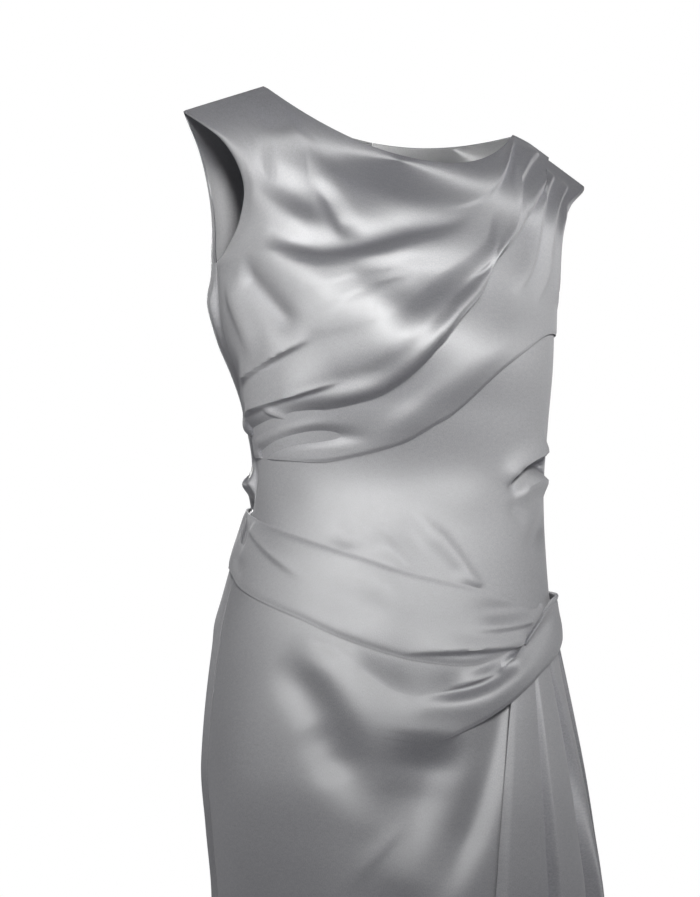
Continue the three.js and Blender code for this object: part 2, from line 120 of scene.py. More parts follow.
# %% Lines on the cloth
# "at" is the distance round from the centre front, positive to the wearer's left.
WAIST_SEAM = table("at height", [
    (-420, -372), (-300, -371), (-210, -379), (-147, -396), (-59, -418), (-10, -432),
    (46, -438), (110, -428), (210, -420), (300, -396), (420, -372)])
DRAPE_FOLD = table("at height", [
    (-210, -285), (-110, -269), (-54, -257), (-30, -244), (-9, -223), (10, -191),
    (35, -155), (45, -124), (91, -81), (123, -36)])
BAND_EDGE = table("at height", [
    (-210, -302), (-139, -306), (-93, -306), (-30, -290), (-2, -271), (40, -229),
    (71, -205), (111, -182), (160, -174), (210, -172)])
SASH_TOP = table("at height", [
    (-420, -345), (-270, -343), (-174, -357), (-67, -379), (-20, -392), (26, -404),
    (101, -416), (210, -408), (300, -372), (420, -345)])
SASH_FOOT = table("at height", [
    (-420, -400), (-300, -398), (-227, -397), (-188, -411), (-103, -434), (-59, -450),
    (-10, -465), (26, -468), (60, -456), (110, -438), (210, -434), (300, -418), (420, -400)])
LOOP_TOP = table("at height", [
    (-8, -494), (19, -484), (50, -470), (69, -454), (92, -435), (120, -417), (150, -411),
    (208, -407)])
LOOP_FOOT = table("at height", [
    (-8, -537), (4, -529), (31, -512), (52, -499), (71, -487), (96, -472), (129, -459),
    (160, -450), (208, -444)])


# %% Reading a table
def read(rows, column, at):
    """Smooth curve through one column, at many places at once."""
    x, y = rows["at"], rows[column]
    at = np.clip(np.asarray(at, float), x[0], x[-1])
    i = np.clip(np.searchsorted(x, at, side="right") - 1, 0, len(x) - 2)
    low = np.maximum(np.arange(len(x)) - 1, 0)
    high = np.minimum(np.arange(len(x)) + 1, len(x) - 1)
    slope = (y[high] - y[low]) / (x[high] - x[low])
    step = x[i + 1] - x[i]
    s = (at - x[i]) / step
    rise = (3 - 2 * s) * s * s
    bend = s * (1 - s) ** 2 * slope[i] - s * s * (1 - s) * slope[i + 1]
    return y[i] + (y[i + 1] - y[i]) * rise + bend * step


def mix(a, b, share):
    return a + (b - a) * share


def smooth(x):
    x = np.clip(x, 0.0, 1.0)
    return x * x * (3 - 2 * x)


# %% [markdown]
# ## The form
# A point of the form is named by its distance round the figure and its height on the
# pattern. Below the underarm a section is a rounded oval. Above it the panel is stretched
# between the underarm section and the upper edge, bowed at the armhole and at the centre.

# %% Points of the form
def top_edge(across, centre):
    neck = NECK_POINT[0] / SHOULDER_TIP[0]
    out = np.abs(across)
    dip = np.minimum(out / neck, 1.0) ** 2.2
    along = np.clip((out - neck) / (1 - neck), 0.0, 1.0)
    y = mix(centre["y"][-1], NECK_POINT[1], dip)
    z = mix(centre["z"][-1], NECK_POINT[2], dip)
    y = np.where(out <= neck, y, mix(NECK_POINT[1], SHOULDER_TIP[1], along))
    z = np.where(out <= neck, z, mix(NECK_POINT[2], SHOULDER_TIP[2], along))
    return across * SHOULDER_TIP[0], y, z


def bow(line, axis, share):
    return read(line, axis, share) - mix(line[axis][0], line[axis][-1], share)


def form_points(around, height):
    """Three arrays x, y, z of the form, with the shoulders tilted."""
    lap = np.mod(around / ROUND + 1, 4) - 1
    back = lap > 1
    turn = np.pi / 2 * np.where(back, 2 - lap, lap)
    across = np.sign(np.sin(turn)) * np.abs(np.sin(turn)) ** SQUARENESS
    along = np.abs(np.cos(turn)) ** SQUARENESS
    level = np.minimum(height, UNDERARM)
    depth = np.where(back, read(SECTIONS, "back", level), -read(SECTIONS, "front", level))
    x = read(SECTIONS, "centre", level) + read(SECTIONS, "half", level) * across
    y = depth * along
    z = level + 0.0
    share = np.clip(1 - height / UNDERARM, 0.0, 1.0)
    near_edge = np.abs(across) ** 2.2
    for is_back, armhole, centre in ((False, FRONT_ARMHOLE, FRONT_CENTRE),
                                     (True, BACK_ARMHOLE, BACK_CENTRE)):
        high = top_edge(across, centre)
        here = (height > UNDERARM) & (back == is_back)
        edge_x = bow(armhole, "x", share) * near_edge * np.sign(across)
        edge_y = bow(armhole, "y", share) * near_edge
        edge_z = bow(armhole, "z", share) * near_edge
        mid_y = bow(centre, "y", share) * (1 - near_edge)
        mid_z = bow(centre, "z", share) * (1 - near_edge)
        x = np.where(here, mix(x, high[0], share) + edge_x, x)
        y = np.where(here, mix(y, high[1], share) + edge_y + mid_y, y)
        z = np.where(here, mix(z, high[2], share) + edge_z + mid_z, z)
    tilt = smooth((z - TILT_FROM) / (UNDERARM - TILT_FROM))
    return x, y, z - math.tan(SHOULDER_TILT) * x * tilt


def form_normals(around, height, low, high):
    """Outward normals, taken just inside the panel's two ends."""
    step = 1.5
    around = np.clip(around, low + step, high - step)
    ax, ay, az = form_points(around - step, height)
    bx, by, bz = form_points(around + step, height)
    cx, cy, cz = form_points(around, height - step)
    dx, dy, dz = form_points(around, np.minimum(height + step, 0.0))
    across = np.stack((bx - ax, by - ay, bz - az), -1)
    up = np.stack((dx - cx, dy - cy, dz - cz), -1)
    normal = np.cross(across, up)
    return normal / np.linalg.norm(normal, axis=-1, keepdims=True)


# %% [markdown]
# ## Folds
# A fold is a line on the cloth through three places, with a height and two widths: how far
# it slopes away above the line and below it. A small width on one side makes the sharp edge of
# a pleat, and two even widths make a soft roll. A negative height is a trough. Each fold dies
# away at its ends, so no two are alike.

# %% The lift of the folds
FOLD_STEPS = 14


def fold_lift(rows, around, height):
    """Height of all folds at each place. Above means to the left of the line's run."""
    lift = np.zeros_like(around)
    for x0, y0, x1, y1, x2, y2, rise, above, below, fade_in, fade_out in rows:
        reach = 3 * max(above, below)
        near = ((around > min(x0, x1, x2) - reach) & (around < max(x0, x1, x2) + reach)
                & (height > min(y0, y1, y2) - reach) & (height < max(y0, y1, y2) + reach))
        if not near.any():
            continue
        px, py = around[near], height[near]
        best = np.full(px.shape, 1e9)
        side = np.zeros(px.shape)
        at = np.zeros(px.shape)
        # the middle place lies on the line, so the curve's handle is pulled past it
        hx, hy = 2 * x1 - (x0 + x2) / 2, 2 * y1 - (y0 + y2) / 2
        t = np.linspace(0, 1, FOLD_STEPS + 1)
        lx = (1 - t) ** 2 * x0 + 2 * t * (1 - t) * hx + t * t * x2
        ly = (1 - t) ** 2 * y0 + 2 * t * (1 - t) * hy + t * t * y2
        for k in range(FOLD_STEPS):
            dx, dy = lx[k + 1] - lx[k], ly[k + 1] - ly[k]
            length = math.hypot(dx, dy)
            s = ((px - lx[k]) * dx + (py - ly[k]) * dy) / length ** 2
            c = np.clip(s, 0, 1)
            away = np.hypot(px - lx[k] - c * dx, py - ly[k] - c * dy)
            turn = (dx * (py - ly[k]) - dy * (px - lx[k])) / length
            closer = away < best
            best = np.where(closer, away, best)
            side = np.where(closer, turn, side)
            at = np.where(closer, (k + c) / FOLD_STEPS, at)
        width = np.where(side > 0, above, below)
        fade = smooth(at / max(fade_in, 1e-3)) * smooth((1 - at) / max(fade_out, 1e-3))
        lift[near] += rise * np.exp(-(best / width) ** 2) * fade
    return lift


# %% [markdown]
# ## Sheets
# Each panel is a grid of places on the cloth, lifted off the form along its normal. The grid is
# fine enough to hold a fold 3 mm wide. A Solidify modifier gives the cloth its thickness
# inwards, and the map in real cloth sizes carries the weave.

# %% Making a sheet
WALL = 1.1            # thickness of the finished satin
made = {}


def grid_mesh(name, points, cloth_map):
    columns, rows = points.shape[:2]
    index = np.arange(columns * rows).reshape(columns, rows)
    quads = np.stack((index[:-1, :-1], index[1:, :-1], index[1:, 1:], index[:-1, 1:]), -1)
    mesh = bpy.data.meshes.new(name)
    mesh.from_pydata((points.reshape(-1, 3) * MM).tolist(), [], quads.reshape(-1, 4).tolist())
    layer = mesh.uv_layers.new(name="cloth")
    corner = np.empty(len(mesh.loops), np.int64)
    mesh.loops.foreach_get("vertex_index", corner)
    layer.data.foreach_set("uv", (cloth_map.reshape(-1, 2)[corner] * MM).ravel())
    mesh.shade_smooth()
    piece = bpy.data.objects.new(name, mesh)
    bpy.context.scene.collection.objects.link(piece)
    return piece


def thicken(piece, wall=WALL):
    bpy.ops.object.select_all(action="DESELECT")
    piece.select_set(True)
    bpy.context.view_layer.objects.active = piece
    shell = piece.modifiers.new("cloth", "SOLIDIFY")
    shell.thickness = wall * MM
    shell.offset = -1
    shell.use_rim = True
    bpy.ops.object.modifier_apply(modifier="cloth")
    bpy.ops.object.shade_smooth_by_angle(angle=math.radians(50))


def crowd(count, pull=0.08):
    """Shares from 0 to 1 that lie closer together towards both ends."""
    t = np.linspace(0, 1, count + 1)
    return t - pull * np.sin(2 * np.pi * t)


def spread(low, high, step):
    return low + (high - low) * crowd(max(int(round((high - low) / step)), 2))


def sheet(name, low, high, foot, head, lift, step=2.4, rows=None):
    """One panel between two places round, from its foot line to its head line."""
    around = spread(low, high, step)
    foot_line, head_line = foot(around), head(around)
    tallest = float(np.max(head_line - foot_line))
    count = rows or int(tallest / step)
    share = crowd(count)
    height = foot_line[:, None] + (head_line - foot_line)[:, None] * share[None, :]
    grid = np.repeat(around[:, None], height.shape[1], axis=1)
    return sheet_on(name, grid, height, lift(grid, height), low, high)


def sheet_on(name, grid, height, lift, low, high):
    x, y, z = form_points(grid, height)
    normal = form_normals(grid, height, low, high)
    points = np.stack((x, y, z), -1) + normal * (lift + WALL)[..., None]
    piece = grid_mesh(name, points, np.stack((grid, height), -1))
    thicken(piece)
    made[name] = len(piece.data.polygons)
    print(name, made[name], "faces")
    return piece


def line(rows, shift=0.0):
    return lambda around: read(rows, "height", around) + shift


def flat_line(value):
    return lambda around: np.full_like(np.asarray(around, float), value)


# %% [markdown]
# ## The satin
# Heavy satin is a warp-faced weave: a close, slightly uneven lustre with a fine grain. The
# grain is a small group that any finish of the dress can use. It reads the map in cloth metres,
# so it keeps its size on every panel.

# %% The weave group
def weave_group():
    group = bpy.data.node_groups.new("satin weave", "ShaderNodeTree")
    group.interface.new_socket("Vector", in_out="INPUT", socket_type="NodeSocketVector")
    scale = group.interface.new_socket("Threads", in_out="INPUT", socket_type="NodeSocketFloat")
    scale.default_value = 1.0
    group.interface.new_socket("Height", in_out="OUTPUT", socket_type="NodeSocketFloat")
    group.interface.new_socket("Tone", in_out="OUTPUT", socket_type="NodeSocketFloat")
    nodes, links = group.nodes, group.links
    entry = nodes.new("NodeGroupInput")
    leave = nodes.new("NodeGroupOutput")
    grain = nodes.new("ShaderNodeTexNoise")
    grain.inputs["Scale"].default_value = 1500.0
    grain.inputs["Detail"].default_value = 3.0
    grain.inputs["Roughness"].default_value = 0.62
    stretch = nodes.new("ShaderNodeMapping")
    stretch.inputs["Scale"].default_value = (1.0, 0.45, 1.0)
    slub = nodes.new("ShaderNodeTexNoise")
    slub.inputs["Scale"].default_value = 260.0
    slub.inputs["Detail"].default_value = 4.0
    cloud = nodes.new("ShaderNodeTexNoise")
    cloud.inputs["Scale"].default_value = 16.0
    cloud.inputs["Detail"].default_value = 2.0
    sum_a = nodes.new("ShaderNodeMath")
    sum_a.operation = "MULTIPLY_ADD"
    sum_a.inputs[1].default_value = 0.35
    sum_b = nodes.new("ShaderNodeMath")
    sum_b.operation = "MULTIPLY_ADD"
    sum_b.inputs[1].default_value = 0.25
    size = nodes.new("ShaderNodeVectorMath")
    size.operation = "SCALE"
    links.new(entry.outputs["Vector"], size.inputs[0])
    links.new(entry.outputs["Threads"], size.inputs["Scale"])
    links.new(size.outputs["Vector"], stretch.inputs["Vector"])
    links.new(stretch.outputs["Vector"], grain.inputs["Vector"])
    links.new(size.outputs["Vector"], slub.inputs["Vector"])
    links.new(entry.outputs["Vector"], cloud.inputs["Vector"])
    links.new(slub.outputs["Fac"], sum_a.inputs[0])
    links.new(grain.outputs["Fac"], sum_a.inputs[2])
    links.new(cloud.outputs["Fac"], sum_b.inputs[0])
    links.new(sum_a.outputs["Value"], sum_b.inputs[2])
    links.new(sum_a.outputs["Value"], leave.inputs["Height"])
    links.new(sum_b.outputs["Value"], leave.inputs["Tone"])
    return group


WEAVE = weave_group()


# %% The satin finish
def satin_finish(name, pale, deep, roughness):
    material = bpy.data.materials.new(name)
    material.use_nodes = True
    nodes, links = material.node_tree.nodes, material.node_tree.links
    shader = nodes["Principled BSDF"]
    shader.inputs["Metallic"].default_value = 0.0
    shader.inputs["Anisotropic"].default_value = 0.6
    shader.inputs["Sheen Weight"].default_value = 0.05
    shader.inputs["Sheen Roughness"].default_value = 0.45
    shader.inputs["Specular IOR Level"].default_value = 0.25
    cloth_map = nodes.new("ShaderNodeUVMap")
    cloth_map.uv_map = "cloth"
    weave = nodes.new("ShaderNodeGroup")
    weave.node_tree = WEAVE
    tone = nodes.new("ShaderNodeValToRGB")
    tone.color_ramp.elements[0].position = 0.45
    tone.color_ramp.elements[0].color = (*deep, 1)
    tone.color_ramp.elements[1].position = 1.0
    tone.color_ramp.elements[1].color = (*pale, 1)
    gloss = nodes.new("ShaderNodeMapRange")
    gloss.inputs["From Min"].default_value = 0.5
    gloss.inputs["From Max"].default_value = 1.0
    gloss.inputs["To Min"].default_value = roughness - 0.05
    gloss.inputs["To Max"].default_value = roughness + 0.06
    bump = nodes.new("ShaderNodeBump")
    bump.inputs["Strength"].default_value = 0.35
    bump.inputs["Distance"].default_value = 0.0003
    links.new(cloth_map.outputs["UV"], weave.inputs["Vector"])
    links.new(weave.outputs["Tone"], tone.inputs["Fac"])
    links.new(weave.outputs["Tone"], gloss.inputs["Value"])
    links.new(tone.outputs["Color"], shader.inputs["Base Color"])
    links.new(gloss.outputs["Result"], shader.inputs["Roughness"])
    links.new(weave.outputs["Height"], bump.inputs["Height"])
    links.new(bump.outputs["Normal"], shader.inputs["Normal"])
    return material


SATIN = satin_finish("satin", (0.305, 0.305, 0.335), (0.205, 0.205, 0.225), 0.67)
FACING = satin_finish("satin facing", (0.56, 0.56, 0.57), (0.44, 0.44, 0.45), 0.48)


# %% [markdown]
# ## Placing a finished piece
# Every sheet rides on the dress, takes its finish and hides its plain wall.

# %% Dressing a sheet
def dressed(piece, nodes, finish=SATIN):
    """Give a sheet its finish, ride it on the dress and hide the plain walls it stands for."""
    piece.data.materials.clear()
    piece.data.materials.append(finish)
    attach(piece, "dress")
    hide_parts(*nodes)


# %% [markdown]
# ## Lower front bodice
# A smooth panel from the waist seam up to behind the band. It is nearly plain, with a sharp
# little crease pair above the sash and gathers where the waist breaks at the left side.

# %% Bodice front
ARMHOLE_STITCH = 7.0
LOW_FRONT_FOLDS = [
    # x0, y0, x1, y1, x2, y2, rise, above, below, fade in, fade out
    # sharp crease pair that runs down to the sash, with two fainter ones beside it
    (-18, -338, 6, -368, 36, -406, 2.8, 3, 13, 0.5, 0.06),
    (-30, -346, -6, -372, 24, -404, -1.8, 9, 8, 0.4, 0.2),
    (-46, -360, -26, -382, -10, -398, 1.6, 5, 12, 0.4, 0.3),
    (-46, -368, -30, -386, -16, -398, -1.2, 8, 8, 0.5, 0.3),
    (-96, -356, -74, -366, -56, -380, -1.2, 8, 10, 0.5, 0.4),
    # the left side is caught in at the waist: a deep gap between two bulges
    (60, -322, 84, -301, 138, -284, 6.0, 12, 3.0, 0.35, 0.05),
    (68, -328, 92, -306, 144, -297, -8.5, 5, 5, 0.35, 0.06),
    (76, -334, 100, -314, 150, -311, 6.0, 4, 12, 0.3, 0.1),
    (68, -328, 78, -342, 104, -353, -2.2, 10, 8, 0.4, 0.4),
    (92, -378, 112, -360, 160, -342, -3.5, 10, 10, 0.4, 0.3),
    (-30, -326, 20, -332, 60, -326, 1.6, 18, 18, 0.5, 0.5),
    (-190, -330, -150, -338, -100, -336, -1.4, 14, 14, 0.5, 0.5),
]


def stitched_edge(around, height):
    """A row of stitches draws the cloth in, a finger's width inside the armhole."""
    inside = SIDE - np.abs(around) - ARMHOLE_STITCH
    return -0.5 * np.exp(-(inside / 1.3) ** 2) * (height > UNDERARM)


def soft_seam(around, reach, depth=0.7, width=5.0):
    """The cloth dips where it is drawn into a seam."""
    return -depth * np.exp(-((reach - np.abs(around)) / width) ** 2)


def low_front_lift(around, height):
    lift = fold_lift(LOW_FRONT_FOLDS, around, height) * smooth((SIDE - np.abs(around)) / 30)
    clear = smooth((height - read(SASH_TOP, "height", around) + 6) / 14)
    return lift * clear + soft_seam(around, SIDE)


bodice_front = sheet(
    "bodice_front_cloth", -SIDE, SIDE, line(WAIST_SEAM, SEAM / 2),
    lambda around: np.minimum(read(BAND_EDGE, "height", around) + 26, UNDERARM - 4),
    low_front_lift)
dressed(bodice_front, ["bodice_front"])

# %% [markdown]
# ## Diagonal band
# The band is pleated into the left shoulder and swept down to the right side seam. Its lower
# edge is finished and lies free on the bodice; its upper part runs on behind the drape.

# %% Drape band
BAND_HEAD = 18.0
DRAPE_LEFT = 119.0
BAND_FOLDS = [
    (-196, -302, -132, -289, -52, -286, -5.0, 6, 5, 0.05, 0.4),
    (-205, -293, -150, -280, -80, -276, 3.0, 5, 8, 0.2, 0.6),
    (-60, -292, -6, -252, 34, -194, 2.2, 10, 14, 0.4, 0.5),
    (-20, -266, 34, -214, 78, -162, 1.8, 12, 12, 0.5, 0.5),
    # pleats that lie under the drape's edge at the left shoulder
    (60, -156, 92, -112, 132, -14, 5.0, 12, 3.5, 0.5, 0.04),
    (88, -160, 118, -112, 160, -14, 4.6, 12, 3.5, 0.5, 0.04),
    (118, -172, 150, -112, 184, -28, 3.0, 10, 6, 0.6, 0.1),
]


def edge_roll(away, rise=1.6, width=5.0):
    """A finished edge rounds down to what it lies on within its last few millimetres."""
    return rise * (1 - np.exp(-(np.maximum(away, 0) / width) ** 2)) - rise


def band_lift(around, height):
    above_edge = height - read(BAND_EDGE, "height", around)
    below_fold = smooth((read(DRAPE_FOLD, "height", around) - height) / 10)
    free = np.where(around > DRAPE_LEFT, 1.0, below_fold)
    return (LAYER + fold_lift(BAND_FOLDS, around, height) * np.maximum(free, 0.15)
            * smooth((SIDE - np.abs(around)) / 12)
            + edge_roll(above_edge, 0.6, 2.0) + soft_seam(around, SIDE, 0.5)
            + stitched_edge(around, height))


def band_head(around):
    fold = np.minimum(read(DRAPE_FOLD, "height", around) + BAND_HEAD, TOP)
    return np.where(around >= DRAPE_LEFT, TOP, fold)


drape_band = sheet("drape_band_cloth", -SIDE, SIDE, line(BAND_EDGE), band_head, band_lift,
                   step=2.0, rows=64)
dressed(drape_band, ["drape_band"])

# %% [markdown]
# ## Upper front drape
# The drape hangs in soft U folds between the shoulders. Three tucks gather it into the right
# side seam and its lower edge rolls over the band, up to the pleats on the left shoulder.

# %% Front drape
DRAPE_FOLDS = [
    # the shoulder faces up, and the cloth rolls forward under a deep hollow
    (-140, -40, -96, -60, -52, -46, 8.0, 13, 24, 0.3, 0.4),
    (-128, -14, -96, -32, -62, -30, -4.5, 16, 9, 0.3, 0.3),
    # first long trough, soft, from the armhole to the short diagonal
    (-190, -58, -120, -106, -66, -130, 5.0, 14, 18, 0.2, 0.4),
    (-172, -46, -118, -84, -64, -114, -4.0, 14, 10, 0.3, 0.3),
    (-78, -80, -66, -102, -52, -130, -4.5, 11, 7, 0.4, 0.3),
    # second trough, the strongest, across to the left shoulder
    (-160, -112, -68, -160, 32, -78, 8.5, 14, 24, 0.25, 0.25),
    (-130, -110, -62, -138, 40, -50, -3.5, 16, 8, 0.4, 0.25),
    (-50, -60, -6, -72, 36, -46, 2.0, 20, 18, 0.4, 0.4),
    # pocket towards the left shoulder
    (-50, -150, -14, -194, 44, -138, 7.0, 22, 30, 0.2, 0.3),
    (-48, -140, -40, -164, -24, -186, -1.6, 12, 14, 0.4, 0.4),
    (-96, -126, -66, -168, -40, -188, -1.8, 14, 14, 0.4, 0.4),
    # the cloth is drawn in below the armhole
    (-166, -158, -134, -186, -106, -218, -7.0, 12, 12, 0.2, 0.3),
    (-190, -160, -170, -200, -150, -226, 4.0, 12, 10, 0.3, 0.4),
    # tucks at the right side seam: each lies over the next with a sharp lower edge
    (-207, -244, -148, -230, -92, -212, 7.5, 20, 2.2, 0.3, 0.45),
    (-207, -266, -144, -258, -74, -242, 9.0, 22, 2.2, 0.3, 0.4),
    (-204, -278, -150, -272, -70, -257, -4.5, 7, 7, 0.05, 0.4),
    (-168, -262, -146, -272, -126, -280, 2.6, 4, 3, 0.3, 0.3),
    # pleats at the left shoulder: those by the neck lie over the next
    (0, -72, 52, -42, 84, -2, 5.5, 16, 3.0, 0.6, 0.03),
    (6, -170, 62, -88, 107, -2, 6.0, 15, 3.0, 0.45, 0.03),
    (30, -118, 66, -68, 97, -6, -2.6, 6, 5, 0.5, 0.2),
    (-60, -236, -14, -212, 22, -168, 2.4, 14, 12, 0.4, 0.4),
]


def drape_lift(around, height):
    from_fold = height - read(DRAPE_FOLD, "height", around)
    over_band = 1 - smooth((from_fold - BAND_HEAD - 6) / 30)
    near_left = smooth((around - 70) / 30)
    base = 2 * LAYER * np.maximum(over_band, near_left)
    free = smooth(-height / 16) * smooth((around + SIDE) / 10)
    roll = 3.4 * np.exp(-((from_fold - 9) / 9) ** 2) + edge_roll(from_fold, 2.4, 4.0)
    return (base + fold_lift(DRAPE_FOLDS, around, height) * free + roll * smooth(-height / 30)
            + soft_seam(around, SIDE, 0.6) + stitched_edge(around, height))


front_drape = sheet("front_drape_cloth", -SIDE, DRAPE_LEFT, line(DRAPE_FOLD), flat_line(TOP),
                    drape_lift, step=1.9, rows=170)
dressed(front_drape, ["front_drape"])

# %% [markdown]
# ## Bodice back
# Two plain panels meet at the centre back, where an invisible zip closes them. They hollow
# a little at the waist and have soft strain lines towards the side seams.

# %% Bodice back
BACK_FOLDS = [
    (226, -318, 262, -330, 310, -328, 3.0, 8, 10, 0.1, 0.6),
    (222, -336, 256, -346, 290, -342, -2.0, 7, 7, 0.1, 0.6),
    (228, -190, 270, -220, 330, -236, 1.6, 14, 14, 0.3, 0.5),
    (300, -350, 340, -330, 400, -322, 1.8, 12, 12, 0.4, 0.4),
    (250, -120, 300, -150, 350, -160, 1.4, 18, 16, 0.4, 0.5),
]


# A small bulge with a gap under it, where the right side is caught above the sash.
RIGHT_WAIST_FOLDS = [
    (-262, -320, -232, -324, -211, -322, 6.0, 10, 8, 0.4, 0.15),
    (-258, -340, -232, -342, -211, -338, -4.5, 7, 6, 0.4, 0.1),
    (-252, -168, -232, -180, -212, -186, 6.0, 18, 22, 0.4, 0.15),
]


def mirrored(rows):
    """The same folds on the other side; the run is turned round so that above stays above."""
    return [(-x2, y2, -x1, y1, -x0, y0, rise, above, below, fade_out, fade_in)
            for x0, y0, x1, y1, x2, y2, rise, above, below, fade_in, fade_out in rows]


def seam_dip(around, *places, depth=0.7, width=4.5):
    return sum(-depth * np.exp(-((around - place) / width) ** 2) for place in places)


def back_lift(around, height):
    folds = BACK_FOLDS if np.mean(around) > 0 else mirrored(BACK_FOLDS)
    reach = np.abs(around)
    free = smooth((reach - ROUND) / 10) * smooth((2 * ROUND - reach) / 14)
    right = fold_lift(RIGHT_WAIST_FOLDS, around, height)
    return (fold_lift(folds, around, height) * free + right
            + seam_dip(reach, ROUND, 2 * ROUND))


for hand, low, high in (("left", ROUND + SEAM / 2, CENTRE_BACK),
                        ("right", -CENTRE_BACK, -ROUND - SEAM / 2)):
    back = sheet("bodice_back_" + hand + "_cloth", low, high, line(WAIST_SEAM, SEAM / 2),
                 flat_line(TOP), back_lift, step=2.8)
    dressed(back, ["bodice_back_" + hand])
    facing_low, facing_high = (FACING_REACH, high) if hand == "left" else (low, -FACING_REACH)
    facing = sheet("neck_facing_" + hand + "_cloth", facing_low, facing_high,
                   flat_line(-FACING_DEPTH), flat_line(TOP),
                   lambda around, height: np.full_like(around, -LAYER), step=2.4, rows=12)
    dressed(facing, ["neck_facing_" + hand], finish=FACING)

# %% [markdown]
# ## Skirt front
# The skirt front is one cloth. Its left part is drawn up into a loop over the sash, and
# the loop's lower fold hangs over the rest of the skirt. The fold starts from nothing in
# the middle of the skirt, so upper and lower cloth run on into each other there.

# %% Skirt front with its loop
SKIRT_FOLDS = [
    # long soft fold from the hip into the pocket, and the fold above it
    (-126, -464, -76, -516, -40, -602, -5.5, 18, 17, 0.3, 0.3),
    (-102, -458, -58, -494, -28, -560, 3.5, 16, 14, 0.3, 0.4),
    (-128, -478, -84, -516, -60, -560, 1.0, 20, 20, 0.3, 0.4),
    (-86, -516, -72, -540, -56, -566, -2.4, 16, 16, 0.4, 0.4),
    (-46, -458, -26, -482, -2, -506, -2.6, 12, 12, 0.3, 0.4),
    # the pocket below the loop's end, dark on its right side
    (5, -520, -5, -572, -24, -644, -14.0, 13, 24, 0.36, 0.5),
    (24, -530, 8, -592, -24, -672, 2.0, 16, 14, 0.3, 0.4),
    # the deep fall beside the cascade
    (60, -482, 36, -562, -14, -676, -10.5, 9, 22, 0.1, 0.3),
    (-10, -640, -26, -690, -38, -740, -3.0, 16, 20, 0.4, 0.4),
    (-12, -594, -36, -620, -62, -654, 0.9, 1.8, 8, 0.4, 0.4),
    (-50, -600, -70, -690, -66, -800, 2.5, 26, 26, 0.4, 0.4),
    (-150, -480, -164, -580, -150, -720, 1.5, 30, 30, 0.4, 0.4),
]
LOOP_FOLDS = [
    (6, -475, 30, -472, 54, -467, -4.5, 4, 4, 0.4, 0.05),
    (-10, -490, 24, -485, 64, -462, -4.5, 6, 6, 0.4, 0.08),
    (0, -482, 26, -479, 58, -466, 1.6, 4, 4, 0.4, 0.2),
    (-14, -500, 30, -494, 86, -452, 2.2, 7, 10, 0.4, 0.3),
    (56, -474, 92, -444, 134, -424, -3.2, 7, 6, 0.3, 0.3),
]
LOOP_START = -6.0     # where the loop's lower fold begins
LOOP_CLIMB = 45.0
LOOP_RISE = 4.8
UNDERLAP = 5.0        # the lower cloth runs this far up behind the loop's fold


def loop_share(around):
    """0 where the skirt is single, 1 where the loop is fully laid over it."""
    return smooth((around - LOOP_START) / LOOP_CLIMB)


def skirt_lift(around, height):
    clear = smooth((read(SASH_FOOT, "height", around) - height - 2) / 18)
    return fold_lift(SKIRT_FOLDS, around, height) * clear * smooth((SIDE - np.abs(around)) / 30)


def single_lift(around, height):
    """Lift of the lower cloth, with what the loop's folds leave where there is no loop yet."""
    left_over = fold_lift(LOOP_FOLDS, around, height) * (1 - loop_share(around)) ** 2
    return skirt_lift(around, height) + left_over + soft_seam(around, SIDE, 0.8)


ROLL_FROM = 65.0      # from here the loop's rolled edge lies on top of the sash
ROLL_BLEND = 10.0
TURN_UNDER = 3.0      # the rolled edge turns back under itself this far
STRIP_ROWS, UPPER_ROWS, FOLD_ROWS, LOWER_ROWS = 16, 54, 6, 164


def loop_lines(around):
    """Heights of the sheet's top edge, the rolled edge and the loop's lower fold."""
    beyond = around - LOOP_START
    foot = read(SASH_FOOT, "height", around)
    rolled = np.where(beyond > 0, read(LOOP_TOP, "height", around),
                      mix(foot - 10, read(LOOP_TOP, "height", LOOP_START), smooth(1 + beyond / 60)))
    fold = np.where(beyond > 0, read(LOOP_FOOT, "height", around),
                    read(LOOP_FOOT, "height", LOOP_START) - 0.25 * beyond)
    over = smooth((around - ROLL_FROM) / ROLL_BLEND)
    top = mix(read(WAIST_SEAM, "height", around) - SEAM / 2, rolled - TURN_UNDER, over)
    return top, rolled, fold


def upper_lift(around, height, fold):
    """Lift of the upper cloth, from the rolled edge down to the loop's fold."""
    share = loop_share(around)
    above_fold = height - fold
    roll = 1.4 * np.exp(-((above_fold - 12) / 12) ** 2) + edge_roll(above_fold, 1.2, 2.2)
    return ((LAYER + LOOP_RISE + roll) * share + skirt_lift(around, height) * (1 - share)
            + fold_lift(LOOP_FOLDS, around, height) * smooth((SIDE - np.abs(around)) / 20)
            + soft_seam(around, SIDE, 0.8))


